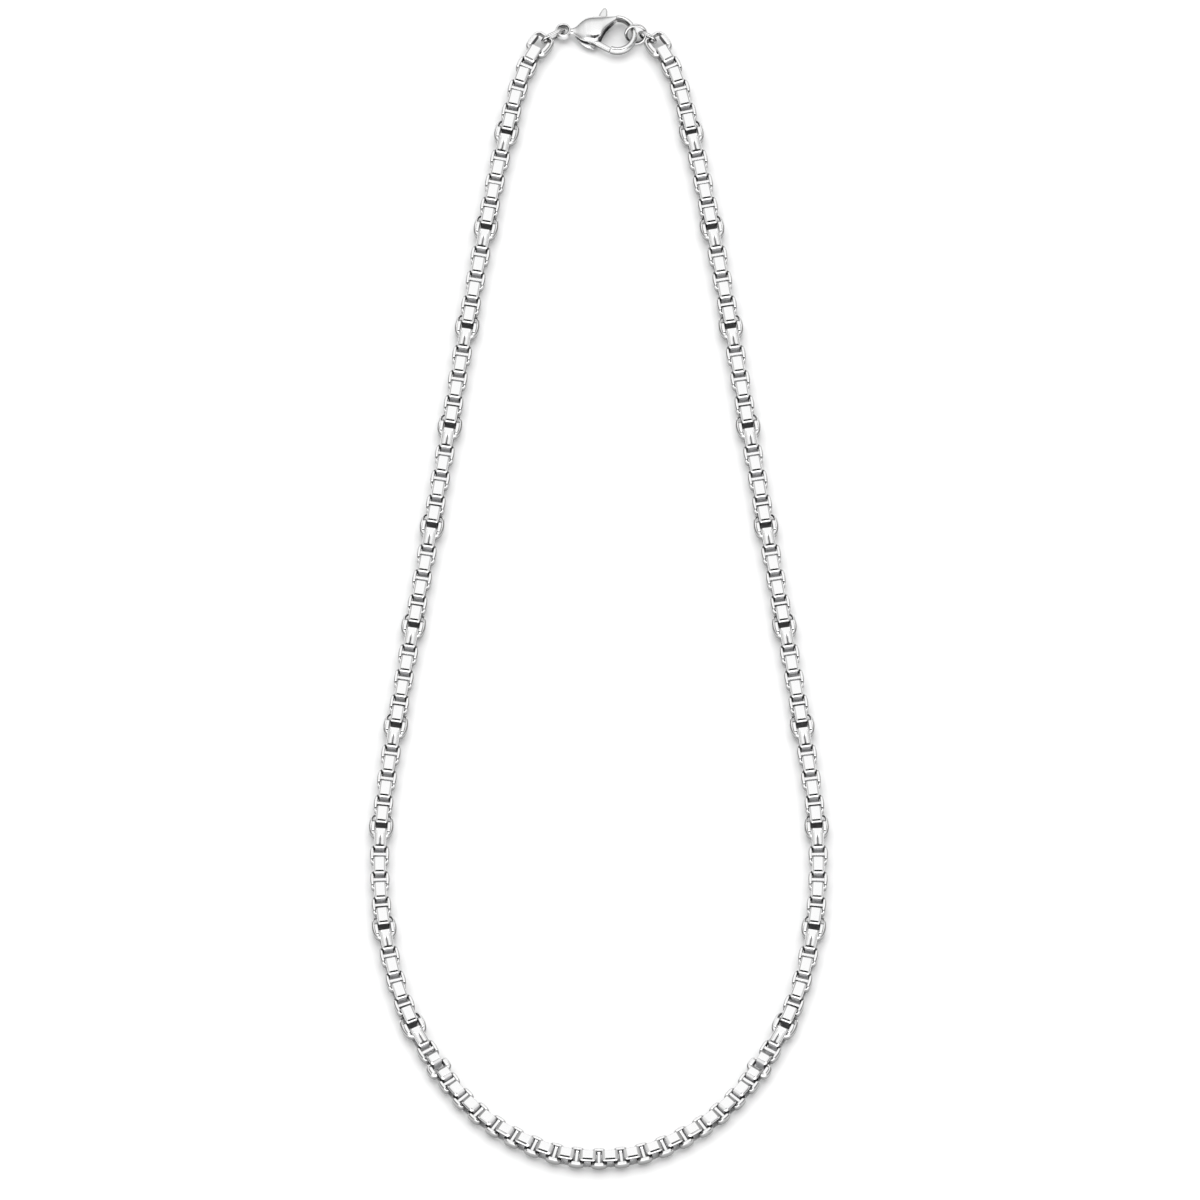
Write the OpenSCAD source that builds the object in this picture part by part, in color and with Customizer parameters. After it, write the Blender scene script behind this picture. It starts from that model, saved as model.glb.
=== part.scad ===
// A box chain necklace, closed by a lobster clasp and laid flat in a long loop.
// Face links stand upright and show a polished face. Frame links lie between them, with two bowed
// rails and a crossbar. Every fourth frame link is a large one, and the face link before it has a
// slit. Millimetres, +Z up. The chain rests on Z = 0, and its box is centred on the origin.
// A link is drawn along X, with its middle at the origin.

/* [Strip] */
// Thickness of the strip in every link
strip_t = 0.34; // [0.3:0.02:0.36]

/* [Face links] */
// Height of a face link, from the surface to its polished face
face_h = 3.3; // [3.2:0.05:3.6]
// Width of a face link's strip
face_w = 2.15; // [1.9:0.05:2.2]
// Outer radius of the four bends of a face link
bend_r = 0.6; // [0.5:0.05:0.9]
// Radius of the corners of a face, seen from above
face_corner_r = 0.45; // [0.2:0.05:0.6]
// Length of a face link in the two side runs
run_face_l = 3.14; // [3:0.02:3.3]
// Length of a face link at the front of the loop
front_face_l = 2.9; // [2.7:0.05:3.2]
// Length of the two face links where the front turns into a run
turn_face_l = 2.35; // [2.2:0.05:2.5]
// Space between two face links at the front and the turn, where the chain lies slack
front_gap = 1.05; // [1:0.01:1.15]
// Space between two face links in the side runs, where it is drawn out
run_gap = 1.82; // [1.7:0.02:1.9]
// Space between the last face links before the clasp
end_gap = 1.6; // [1.5:0.02:1.8]
// Width of the slit in an open face link
slit_w = 0.18; // [0.12:0.02:0.24]
// Width of the notch at the end of the slit
notch_w = 0.8; // [0.4:0.05:1]

/* [Frame links] */
// Width over the two rails at their middle
frame_w = 3.5; // [3.45:0.05:3.7]
// Length of a frame link at the front and the turn
front_frame_l = 2.9; // [2.8:0.02:3]
// Length of a frame link in the side runs
run_frame_l = 3.54; // [3.46:0.02:3.7]
// Thickness of a rail at its middle, seen from above
rail_w = 0.44; // [0.4:0.02:0.5]
// Height of the strip of a frame link
frame_h = 2.2; // [1.9:0.05:2.3]
// Width of the crossbar
bar_w = 0.6; // [0.4:0.05:0.65]
// How far the crossbar's top lies below the rails' top
bar_drop = 0.4; // [0:0.05:0.6]
// Radius of the bow of a rail
bow_r = 4.5; // [4.2:0.1:6]
// Radius of a frame's corners
frame_corner_r = 0.7; // [0.5:0.05:0.8]

/* [Large frame links] */
// Width over the rim
large_w = 4.4; // [4.2:0.05:4.7]
// Length of a large frame link
large_l = 4.3; // [4.1:0.05:4.6]
// Radius of the bow of the rim
large_bow_r = 5.5; // [5:0.5:8]
// Height of the rim
rim_h = 1.8; // [1.6:0.05:1.9]
// How far a large frame link sits towards the clasp
large_shift = 0.3; // [0:0.05:0.4]
// Length of the rails inside the rim
inner_rail_l = 2.9; // [2.4:0.1:3.1]

/* [Loop] */
// Face links on each side of the front centre, of the front length
front_faces = 8; // [6:1:9]
// Face links on each side run
run_faces = 41; // [33:1:45]
// The last of them before the clasp, which lie closer together
end_faces = 8; // [4:1:12]
// Face links from one large frame link to the next
large_every = 4; // [3:1:5]

/* [Clasp] */
// Thickness of the clasp at the middle of its body
clasp_t = 3.3; // [3:0.1:3.6]
// Thickness of the hook
hook_t = 1.6; // [1.4:0.05:1.8]
// Outer diameter of the hook
hook_d = 6.7; // [6.5:0.1:7]
// Width of the hook's arm, seen from above
hook_w = 1.05; // [0.9:0.05:1.1]
// Diameter of the body
body_d = 5.4; // [5.2:0.1:5.6]
// Distance from the eye's centre to the body's centre
body_x = 5.75; // [5.6:0.05:5.9]
// Distance from the eye's centre to the hook's centre
hook_x = 9.95; // [9.8:0.05:10.1]
// Outer diameter of the eye
eye_d = 3; // [2.9:0.05:3.2]
// Hole of the eye
eye_hole_d = 1.6; // [1.4:0.05:1.7]
// Thickness of the eye
eye_t = 1.2; // [1:0.05:1.3]

/* [Lever] */
// Thickness of the lever
lever_t = 1.2; // [1:0.05:1.3]
// Clearance of the lever in its slot
lever_gap = 0.1; // [0.05:0.01:0.15]
// Pin on which the lever turns
pin_d = 0.8; // [0.6:0.05:1]
// Clearance round the pin
pin_gap = 0.05; // [0.02:0.01:0.08]
// Diameter of the lever's boss
boss_d = 1.7; // [1.5:0.05:1.8]
// Distance from the pin to the end of the gate
gate_reach = 4.2; // [4.1:0.05:4.3]
// Width of the gate, seen from above
gate_w = 0.8; // [0.6:0.05:0.85]
// How far the trigger's tip stands from the pin
trigger_reach = 6.2; // [6:0.05:6.4]
// Radius of the trigger's tip
trigger_r = 0.42; // [0.3:0.02:0.5]

/* [Rings] */
// Wire of the jump rings and the end ring
wire_d = 0.6; // [0.5:0.02:0.64]
// Outer diameter of the end ring
end_ring_d = 4.2; // [4:0.05:4.4]
// Tilt of the end ring, which leans on the hook
end_ring_tilt = 53; // [50:1:56]
// Outer length of the oval jump ring at the eye
oval_ring_l = 4.9; // [4.7:0.05:5.2]
// Outer length of the oval jump ring at the end ring
short_ring_l = 3.8; // [3.7:0.02:4]
// Outer height of the two upright jump rings
upright_h = 3.2; // [3.15:0.01:3.25]

/* [Hidden] */
$fn = 48;

mid_z = face_h / 2;
cut = 1;

// Whole numbers of links
front_count = round(front_faces);
turn_count = 2;
half_count = front_count + turn_count + round(run_faces);
first_end_frame = half_count - round(end_faces) + 1;
large_step = round(large_every);
turn_frame = front_count + turn_count / 2;
first_run_frame = front_count + turn_count;

// The middle line of one half of the loop, from the front centre to the last frame link. The first
// and the last point only steer it.
ROUTE = [[-8.8, 1.3], [0, 0], [8.8, 1.3], [18.2, 6.2], [24.5, 12.1], [28.6, 18], [32, 23.9], [34.5, 29.8],
         [36.3, 35.6], [38.4, 47.4], [38.9, 59.1], [38, 70.9], [34.5, 94.4], [30.6, 117.9],
         [26.8, 141.4], [23.1, 164.9], [19, 188.4], [16.6, 200.2], [13.7, 211.9], [10.7, 217.9],
         [7.1, 223]];
route_steps = 12;
fit_steps = 16;

// Face link k lies between frame links k and k + 1, which are counted from the front centre
function face_length(k) =
    k < front_count ? front_face_l : k < first_run_frame ? turn_face_l : run_face_l;
function frame_length(j) = j < first_run_frame ? front_frame_l : run_frame_l;
function gap_at(j) = j < first_run_frame ? front_gap : j < first_end_frame ? run_gap : end_gap;
function is_large(j) = j > first_run_frame && (half_count - j) % large_step == 0;

// Length of the chain from the front centre to the middle of each frame link
chain_reach = [for (k = 0, l = 0; k <= half_count;
                    l = l + face_length(k) + (gap_at(k) + gap_at(k + 1)) / 2, k = k + 1) l];

// A smooth curve through the points p, whose first and last point only steer it
function tangent(a, b, c) = (c - a) / (norm(c - b) + norm(b - a));
function between(a, b, ta, tb, t) =
    a * (1 + 2 * t) * pow(1 - t, 2) + b * t * t * (3 - 2 * t)
    + norm(b - a) * (ta * t * pow(1 - t, 2) - tb * t * t * (1 - t));
function smooth(p, steps) = concat(
    [for (i = [1 : len(p) - 3], s = [0 : steps - 1])
        between(p[i], p[i + 1], tangent(p[i - 1], p[i], p[i + 1]),
                tangent(p[i], p[i + 1], p[i + 2]), s / steps)],
    [p[len(p) - 2]]);

// The route, stretched along Y
function curve(k) = smooth([for (p = ROUTE) [p[0], p[1] * k]], route_steps);
function reaches(line) =
    [for (i = 0, l = 0; i < len(line); i = i + 1,
          l = l + (i < len(line) ? norm(line[i] - line[i - 1]) : 0)) l];

// The stretch at which the links fill the curve
function fit_stretch(lo, hi, steps) =
    let (mid = (lo + hi) / 2, r = reaches(curve(mid)))
    steps == 0 ? mid
    : r[len(r) - 1] < chain_reach[half_count] ? fit_stretch(mid, hi, steps - 1)
    : fit_stretch(lo, mid, steps - 1);
loop_stretch = fit_stretch(0.5, 1.5, fit_steps);
line = curve(loop_stretch);
line_reach = reaches(line);
x_table = [for (i = [0 : len(line) - 1]) [line_reach[i], line[i][0]]];
y_table = [for (i = [0 : len(line) - 1]) [line_reach[i], line[i][1]]];
function on_line(l) =
    l < 0 ? [-lookup(-l, x_table), lookup(-l, y_table)] : [lookup(l, x_table), lookup(l, y_table)];

// The last frame link, its heading, and the clasp's place from it
end_point = line[len(line) - 1];
end_step = ROUTE[len(ROUTE) - 1] - ROUTE[len(ROUTE) - 2];
end_heading = atan2(end_step[1], end_step[0]);
clasp_at = [-6.4, end_point[1] + 2.9];

// The clasp, drawn from its eye's centre. The outline of the body is given in shares: along the
// body, from the eye's centre to the hook's centre, and across it, of half the body's width.
BODY_BACK = [[0.12, 0.1], [0.2, 0.2], [0.31, 0.52], [0.42, 0.78], [0.55, 0.95], [0.68, 1],
             [0.82, 1], [0.91, 0.98], [1, 0.95]];
BODY_END = [[0.95, 0.56], [0.91, 0.5], [0.86, 0.39], [0.77, 0.19], [0.71, -0.14], [0.67, -0.54],
            [0.6, -1.02], [0.54, -1.3]];
BODY_FRONT = [[0.7, -1.2], [0.6, -1.02], [0.5, -0.93], [0.41, -0.78], [0.31, -0.56], [0.2, -0.3],
              [0.12, -0.2]];
outline_steps = 3;
// The front of the lever's slot, from the pin, in shares of the gate's reach
SLOT_FRONT = [[0.75, 1.31], [0.75, 0.48], [0.98, -0.36], [0.38, -0.64]];
body_y = -0.15;
hook_y = -0.9;
pin_at = [4.9, -1.5];
trigger_at = pin_at + trigger_reach * [cos(66), sin(66)];
hook_in_r = hook_d / 2 - hook_w;
slot_t = lever_t + 2 * lever_gap;
slot_r = boss_d / 2 + lever_gap;
dome_reach = 3.9;
dome_sag = (clasp_t - hook_t) / 2;
dome_r = (pow(dome_reach, 2) + pow(dome_sag, 2)) / (2 * dome_sag);

// The rings, whose wire passes through the end frames and the eye
upright_r = (upright_h - wire_d) / 2;
end_ring_r = (end_ring_d - wire_d) / 2;
end_ring_at = [6.6, end_point[1] + 2.3];
end_ring_z = end_ring_r * sin(end_ring_tilt) + wire_d / 2 + 0.02;
hole_reach = large_shift + large_l / 2 - strip_t - 1;

// The loop is centred between its front rail and the trigger's tip
front_y = -frame_w / 2;
back_y = clasp_at[1] + trigger_at[1] + trigger_r;
centre_y = (front_y + back_y) / 2;

module rounded(l, w, r) {
    square([l - 2 * r, w], center = true);
    square([l, w - 2 * r], center = true);
    for (x = [-1, 1], y = [-1, 1]) {
        translate([x * (l / 2 - r), y * (w / 2 - r)]) circle(r);
    }
}

// A rounded outline whose long sides bow outward
module bowed(l, w, r, bow) {
    intersection() {
        rounded(l, w, r);
        translate([0, bow - w / 2]) circle(bow, $fn = 96);
        translate([0, w / 2 - bow]) circle(bow, $fn = 96);
    }
}

module face_link(l) {
    intersection() {
        rotate([90, 0, 0]) linear_extrude(face_w, center = true) difference() {
            rounded(l, face_h, bend_r);
            rounded(l - 2 * strip_t, face_h - 2 * strip_t, bend_r - strip_t);
        }
        linear_extrude(face_h + cut, center = true) rounded(l, face_w, face_corner_r);
    }
}

// A face link whose face is slit from its middle to the front bend, where it opens in a notch
module slit_face_link(l) {
    notch_l = 0.55;
    slit_end = l / 2 - bend_r * 0.6;
    difference() {
        face_link(l);
        translate([0, 0, face_h / 2 - strip_t - cut / 2]) linear_extrude(strip_t + cut) {
            translate([-slit_end, -slit_w / 2]) square([slit_end, slit_w]);
            polygon([[-slit_end + notch_l, -slit_w / 2], [-slit_end + notch_l, slit_w / 2],
                     [-slit_end, notch_w / 2], [-slit_end, -notch_w / 2]]);
        }
    }
}

// Two bowed rails and a lower crossbar between them, with a hole on each side for a face link
module frame_link(l) {
    linear_extrude(frame_h, center = true) difference() {
        bowed(l, frame_w, frame_corner_r, bow_r);
        rounded(l - 2 * strip_t, frame_w - 2 * rail_w, frame_corner_r - strip_t);
    }
    linear_extrude(frame_h - 2 * bar_drop, center = true) square([bar_w, frame_w - rail_w], center = true);
}

// A wide rim with two thicker rails inside it, and one long hole for both face links
module wide_frame_link(l, rail_l) {
    rim_corner_r = 1.1;
    passage_w = frame_w - 2 * rail_w;
    linear_extrude(rim_h, center = true) difference() {
        bowed(l, large_w, rim_corner_r, large_bow_r);
        bowed(l - 2 * strip_t, large_w - 2 * strip_t, rim_corner_r - strip_t, large_bow_r - strip_t);
    }
    linear_extrude(frame_h, center = true) difference() {
        intersection() {
            bowed(l - strip_t, large_w - strip_t, rim_corner_r, large_bow_r);
            translate([-l / 2, -large_w / 2]) square([rail_l + strip_t, large_w]);
        }
        square([l + cut, passage_w], center = true);
    }
}

module at_length(l, half_span) {
    a = on_line(l - half_span);
    b = on_line(l + half_span);
    c = (a + b) / 2;
    translate([c[0], c[1], 0]) rotate([0, 0, atan2(b[1] - a[1], b[0] - a[0])]) children();
}

// One half of the loop, towards +X, without the frame link at the front centre
module half_chain() {
    for (k = [0 : half_count - 1]) {
        l = face_length(k);
        at_length(chain_reach[k] + (gap_at(k) + l) / 2, l / 2) {
            if (is_large(k + 1)) slit_face_link(l);
            else face_link(l);
        }
    }
    for (j = [1 : half_count - 1]) {
        l = frame_length(j);
        at_length(chain_reach[j], l / 2) {
            if (j == turn_frame) wide_frame_link(l, l);
            else if (is_large(j)) translate([large_shift, 0, 0]) wide_frame_link(large_l, inner_rail_l);
            else frame_link(l);
        }
    }
    translate(end_point) rotate([0, 0, end_heading]) translate([large_shift, 0, 0])
        wide_frame_link(large_l, inner_rail_l);
}

module in_place() {
    translate([0, -centre_y, mid_z]) children();
}

module chain_left() {
    color("silver") in_place() {
        mirror([1, 0, 0]) half_chain();
        frame_link(front_frame_l);
    }
}

module chain_right() {
    color("silver") in_place() half_chain();
}

// A flat layer of the clasp, centred on its mid-plane
module layer(t) {
    linear_extrude(t, center = true) children();
}

function body_part(shares) =
    smooth([for (p = shares) [p[0] * hook_x, body_y + p[1] * body_d / 2]], outline_steps);

module body_outline() {
    polygon(concat(body_part(BODY_BACK), body_part(BODY_END), body_part(BODY_FRONT)));
}

module hook_outline() {
    difference() {
        translate([hook_x, hook_y]) circle(d = hook_d);
        translate([hook_x, hook_y]) circle(hook_in_r);
        translate(pin_at) circle(gate_reach + lever_gap);
    }
}

// The lever's slot, open at the trigger and along the gate, and clear of the swing
module slot_outline() {
    translate(pin_at) circle(slot_r);
    polygon(concat([pin_at + [-slot_r, 0], pin_at + [-boss_d / 2, body_d]],
                   [for (p = SLOT_FRONT) pin_at + p * gate_reach],
                   [pin_at + [slot_r / 6, -slot_r]]));
}

// The body swells from the hook's thickness at both ends to the full thickness at its middle
module swell() {
    translate([body_x, 0, 0]) rotate([90, 0, 0]) linear_extrude(4 * body_d, center = true) intersection() {
        translate([0, clasp_t / 2 - dome_r]) circle(dome_r, $fn = 96);
        translate([0, dome_r - clasp_t / 2]) circle(dome_r, $fn = 96);
    }
}

module clasp_body() {
    color("silver") translate([clasp_at[0], clasp_at[1], 0]) in_place() {
        difference() {
            union() {
                layer(eye_t) {
                    circle(d = eye_d);
                    polygon([[0.8, 0.9], [2, 0.35], [3, 0.5], [3, -1.1], [2, -0.9], [0.8, -1.1]]);
                }
                intersection() {
                    layer(clasp_t + cut) body_outline();
                    swell();
                }
                layer(hook_t) hook_outline();
            }
            layer(clasp_t) circle(d = eye_hole_d);
            layer(slot_t) slot_outline();
        }
        translate(pin_at) cylinder(d = pin_d, h = clasp_t - 0.9, center = true);
    }
}

module trigger_outline() {
    polygon([pin_at + [-0.55, 0.3], pin_at + [1.3, 4.1], trigger_at + [-0.36, 0.1], trigger_at + [0.37, 0],
             pin_at + [2.95, 3.9], pin_at + [2, 2.1], pin_at + [0.6, -0.2]]);
    translate(trigger_at) circle(trigger_r);
}

// The gate's end is round about the pin
module gate_outline() {
    intersection() {
        translate(pin_at) rotate(-31) translate([0.1, -gate_w / 2 - 0.1]) square([gate_reach, gate_w]);
        translate(pin_at) circle(gate_reach);
    }
}

module clasp_lever() {
    color("gainsboro") translate([clasp_at[0], clasp_at[1], 0]) in_place() difference() {
        union() {
            layer(lever_t) translate(pin_at) circle(d = boss_d);
            layer(lever_t) trigger_outline();
            layer(lever_t) gate_outline();
        }
        translate(pin_at) cylinder(d = pin_d + 2 * pin_gap, h = clasp_t, center = true);
    }
}

// An upright oval ring of round wire, along X
module upright_ring(l) {
    straight = l - upright_h;
    for (side = [-1, 1]) {
        translate([side * straight / 2, 0, 0]) rotate([90, 90 * side, 0])
            rotate_extrude(angle = 180) translate([upright_r, 0]) circle(d = wire_d);
        translate([0, 0, side * upright_r]) rotate([0, 90, 0])
            cylinder(d = wire_d, h = straight, center = true);
    }
}

module left_jump_ring() {
    a = [-end_point[0], end_point[1]]
        + hole_reach * [-cos(end_heading), sin(end_heading)];
    heading = atan2(clasp_at[1] - a[1], clasp_at[0] - a[0]);
    middle = a + (oval_ring_l - wire_d) / 2 * [cos(heading), sin(heading)];
    color("silver") in_place() translate(middle) rotate([0, 0, heading]) upright_ring(oval_ring_l);
}

module end_ring() {
    color("silver") translate([end_ring_at[0], end_ring_at[1] - centre_y, end_ring_z])
        rotate([end_ring_tilt, 0, 0]) rotate_extrude() translate([end_ring_r, 0]) circle(d = wire_d);
}

module right_jump_ring() {
    a = end_point + hole_reach * [cos(end_heading), sin(end_heading)];
    heading = atan2(end_ring_at[1] - a[1], end_ring_at[0] + 1.1 - a[0]);
    middle = a + (short_ring_l - wire_d) / 2 * [cos(heading), sin(heading)];
    color("silver") in_place() translate(middle) rotate([0, 0, heading]) upright_ring(short_ring_l);
}

chain_left();
chain_right();
clasp_body();
clasp_lever();
left_jump_ring();
end_ring();
right_jump_ring();
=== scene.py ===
"""Looks of the box chain necklace: polished silver links, lobster clasp and rings on a white table.

Sizes are in millimetres until a mesh is made. The frame is the CAD model's: +Y runs from the front of
the loop to the clasp, +Z is up, and the chain rests on Z = 0.
"""
import math

import bpy
import numpy as np
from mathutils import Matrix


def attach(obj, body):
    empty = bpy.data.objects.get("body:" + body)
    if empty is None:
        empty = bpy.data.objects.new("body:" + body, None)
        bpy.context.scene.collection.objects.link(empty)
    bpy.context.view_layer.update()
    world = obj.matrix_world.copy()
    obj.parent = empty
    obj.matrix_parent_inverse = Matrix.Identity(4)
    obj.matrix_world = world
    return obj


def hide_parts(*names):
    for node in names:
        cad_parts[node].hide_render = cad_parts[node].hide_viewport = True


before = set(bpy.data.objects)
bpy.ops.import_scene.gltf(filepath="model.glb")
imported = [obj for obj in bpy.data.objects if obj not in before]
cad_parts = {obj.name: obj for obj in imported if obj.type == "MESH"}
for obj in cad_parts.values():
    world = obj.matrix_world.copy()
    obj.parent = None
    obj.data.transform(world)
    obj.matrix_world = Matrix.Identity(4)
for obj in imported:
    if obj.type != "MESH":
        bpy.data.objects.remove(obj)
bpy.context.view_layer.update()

MM = 0.001

# The chain, as in the CAD model
STRIP_T = 0.34
FACE_H = 3.3
FACE_W = 2.15
FRONT_FACE_L = 2.9
TURN_FACE_L = 2.35
RUN_FACE_L = 3.14
FRONT_GAP = 1.05
RUN_GAP = 1.82
END_GAP = 1.6
FRAME_W = 3.5
FRONT_FRAME_L = 2.9
RUN_FRAME_L = 3.54
FRAME_H = 2.2
BAR_W = 0.6
BAR_DROP = 0.4
FRAME_BOW_R = 4.5
FRAME_CORNER_R = 0.7
LARGE_W = 4.4
LARGE_L = 4.3
LARGE_BOW_R = 5.5
LARGE_CORNER_R = 1.1
RIM_H = 1.8
LARGE_SHIFT = 0.3
FRONT_FACES = 8
TURN_FACES = 2
RUN_FACES = 41
END_FACES = 8
LARGE_EVERY = 4
HALF_FACES = FRONT_FACES + TURN_FACES + RUN_FACES
FIRST_RUN_FRAME = FRONT_FACES + TURN_FACES
FIRST_END_FRAME = HALF_FACES - END_FACES + 1
TURN_FRAME = FRONT_FACES + TURN_FACES // 2
MID_Z = FACE_H / 2

# The middle line of one half of the loop, from the front centre to the last frame link. The first and
# the last point only steer it.
ROUTE = [(-8.8, 1.3), (0, 0), (8.8, 1.3), (18.2, 6.2), (24.5, 12.1), (28.6, 18), (32, 23.9), (34.5, 29.8),
         (36.3, 35.6), (38.4, 47.4), (38.9, 59.1), (38, 70.9), (34.5, 94.4), (30.6, 117.9),
         (26.8, 141.4), (23.1, 164.9), (19, 188.4), (16.6, 200.2), (13.7, 211.9), (10.7, 217.9),
         (7.1, 223)]
ROUTE_STEPS = 12

# The clasp and the rings. The clasp's places are measured from its eye's centre, and its eye's centre and
# the end ring's from the end of the chain.
CLASP_X = -6.4
CLASP_PAST_END = 2.9
EYE_D = 3.0
EYE_HOLE_D = 1.6
EYE_T = 2.0
PIN_AT = np.array([4.9, -1.5])
BOSS_R = 0.85
LEVER_T = 1.2
GATE_REACH = 4.2
GATE_W = 0.8
GATE_ANGLE = -31
TRIGGER_REACH = 6.2
TRIGGER_ANGLE = 66
TRIGGER_R = 0.42
HOOK_AT = np.array([9.7, -0.66])
HOOK_RX = 3.0
HOOK_RY = 3.2
HOOK_W = 1.05
HOOK_T = 1.7
HOOK_START = 92
HOOK_STOP = -112
WIRE_D = 0.6
END_RING_R = 1.8
END_RING_TILT = 53
END_RING_X = 6.6
END_RING_PAST_END = 2.3
END_RING_HOLD = 1.1
END_RING_LIFT = 0.02
RING_HOLE_DEPTH = 1
OVAL_RING_L = 4.9
SHORT_RING_L = 3.8
UPRIGHT_R = 1.3
# How dark the painted shade on the rings' wire and the clasp's eye gets
RING_SHADE = 0.75


# Placing the links

def smooth(points, steps):
    """A smooth curve through the points, whose first and last point only steer it."""
    p = np.array(points, float)
    out = []
    for i in range(1, len(p) - 2):
        a, b = p[i], p[i + 1]
        reach = np.linalg.norm(b - a)
        ta = (b - p[i - 1]) / (reach + np.linalg.norm(a - p[i - 1]))
        tb = (p[i + 2] - a) / (np.linalg.norm(p[i + 2] - b) + reach)
        for s in range(steps):
            t = s / steps
            out.append(a * (1 + 2 * t) * (1 - t) ** 2 + b * t * t * (3 - 2 * t)
                       + reach * (ta * t * (1 - t) ** 2 - tb * t * t * (1 - t)))
    out.append(p[-2])
    return np.array(out)


def face_length(k):
    """Length of face link k, counted from the front centre."""
    if k < FRONT_FACES:
        return FRONT_FACE_L
    return TURN_FACE_L if k < FIRST_RUN_FRAME else RUN_FACE_L


def frame_length(j):
    """Length of frame link j. Frame link 0 lies at the front centre."""
    return FRONT_FRAME_L if j < FIRST_RUN_FRAME else RUN_FRAME_L


def gap_at(j):
    """Gap between the two face links that frame link j joins."""
    if j < FIRST_RUN_FRAME:
        return FRONT_GAP
    return RUN_GAP if j < FIRST_END_FRAME else END_GAP


def is_large(j):
    """Every fourth frame link of the run is a large one, counted from the clasp."""
    return j > FIRST_RUN_FRAME and (HALF_FACES - j) % LARGE_EVERY == 0


# Length of the chain from the front centre to the middle of each frame link
CHAIN_REACH = [0.0]
for k in range(HALF_FACES):
    CHAIN_REACH.append(CHAIN_REACH[-1] + face_length(k) + (gap_at(k) + gap_at(k + 1)) / 2)


class Line:
    """The route, stretched along Y until the links fill it."""

    def __init__(self):
        low, high = 0.5, 1.5
        for _ in range(30):
            middle = (low + high) / 2
            self.points = smooth([(x, y * middle) for x, y in ROUTE], ROUTE_STEPS)
            steps = np.linalg.norm(np.diff(self.points, axis=0), axis=1)
            self.reach = np.concatenate([[0], np.cumsum(steps)])
            if self.reach[-1] < CHAIN_REACH[-1]:
                low = middle
            else:
                high = middle
        self.end = self.points[-1]
        step = np.subtract(ROUTE[-1], ROUTE[-2])
        self.end_heading = math.atan2(step[1], step[0])

    def at(self, length):
        """The point at a length from the front centre, on the left half where it is negative."""
        x = np.interp(abs(length), self.reach, self.points[:, 0])
        y = np.interp(abs(length), self.reach, self.points[:, 1])
        return np.array([math.copysign(x, length), y])

    def place(self, length, half_span):
        """Middle and heading of a link that spans 2 half_span of the line."""
        a = self.at(length - half_span)
        b = self.at(length + half_span)
        return (a + b) / 2, math.atan2(b[1] - a[1], b[0] - a[0])


line = Line()
CLASP_AT = np.array([CLASP_X, line.end[1] + CLASP_PAST_END])
TRIGGER_AT = PIN_AT + TRIGGER_REACH * np.array([math.cos(math.radians(TRIGGER_ANGLE)),
                                                math.sin(math.radians(TRIGGER_ANGLE))])
CENTRE_Y = (CLASP_AT[1] + TRIGGER_AT[1] + TRIGGER_R - FRAME_W / 2) / 2


# Meshes

class Grid:
    """A tube of points. Each row is a closed section, and closed_u joins the last row to the first.

    The normals come from the directions of the rows and columns.
    """

    def __init__(self, points, closed_u=True, tone=0.0):
        self.points = np.asarray(points, float)
        self.closed_u = closed_u
        self.tone = np.broadcast_to(tone, self.points.shape[:2]).copy()
        self.normals = self.find_normals()

    def find_normals(self):
        def around(axis):
            return np.roll(self.points, -1, axis) - np.roll(self.points, 1, axis)

        lengthwise = around(0) if self.closed_u else np.gradient(self.points, axis=0)
        n = np.cross(lengthwise, around(1))
        return n / np.maximum(np.linalg.norm(n, axis=2, keepdims=True), 1e-12)

    def moved(self, turn, shift):
        """A copy, turned by a 3 by 3 matrix and shifted."""
        other = object.__new__(Grid)
        other.points = self.points @ turn.T + shift
        other.normals = self.normals @ turn.T
        other.closed_u = self.closed_u
        other.tone = self.tone
        if np.linalg.det(turn) < 0:
            other.points = other.points[::-1]
            other.normals = other.normals[::-1]
            other.tone = other.tone[::-1]
        return other

    def faces(self, first):
        """Corner numbers of the quads, counted from first."""
        rows, columns = self.points.shape[:2]
        u = np.arange(rows if self.closed_u else rows - 1)
        u, v = np.meshgrid(u, np.arange(columns), indexing="ij")
        u, v = u.ravel(), v.ravel()
        nu, nv = (u + 1) % rows, (v + 1) % columns
        return first + np.stack([u * columns + v, nu * columns + v, nu * columns + nv, u * columns + nv],
                                axis=1)


def make_piece(name, grids, material, slot, body, *nodes):
    """One object from grids in millimetres, which stands for CAD nodes."""
    points, normals, tones, faces = [], [], [], []
    first = 0
    for grid in grids:
        faces.append(grid.faces(first))
        points.append(grid.points.reshape(-1, 3))
        normals.append(grid.normals.reshape(-1, 3))
        tones.append(grid.tone.ravel())
        first += len(points[-1])
    points = np.concatenate(points) * MM
    normals = np.concatenate(normals)
    tones = np.concatenate(tones)
    faces = np.concatenate(faces)
    mesh = bpy.data.meshes.new(name)
    mesh.from_pydata(points.tolist(), [], faces.tolist())
    mesh.polygons.foreach_set("use_smooth", [True] * len(mesh.polygons))
    mesh.normals_split_custom_set_from_vertices(normals.tolist())
    # Tone per point, which carries painted shade as well as the brushed finish
    tone = mesh.attributes.new("shade_and_finish", "FLOAT", "POINT")
    tone.data.foreach_set("value", tones)
    mesh.materials.append(material)
    mesh.update()
    piece = bpy.data.objects.new(name, mesh)
    bpy.context.scene.collection.objects.link(piece)
    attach(piece, body)
    if nodes:
        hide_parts(*nodes)
    return piece


def arc(centre, radii, start, stop, steps):
    """Points on an ellipse's arc, with angles in degrees."""
    t = np.radians(np.linspace(start, stop, steps + 1))
    return np.stack([centre[0] + radii[0] * np.cos(t), centre[1] + radii[1] * np.sin(t)], axis=1)


def ramp(x, start, stop):
    """A soft step from 0 to 1."""
    t = np.clip((x - start) / (stop - start), 0, 1)
    return t * t * (3 - 2 * t)


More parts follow.
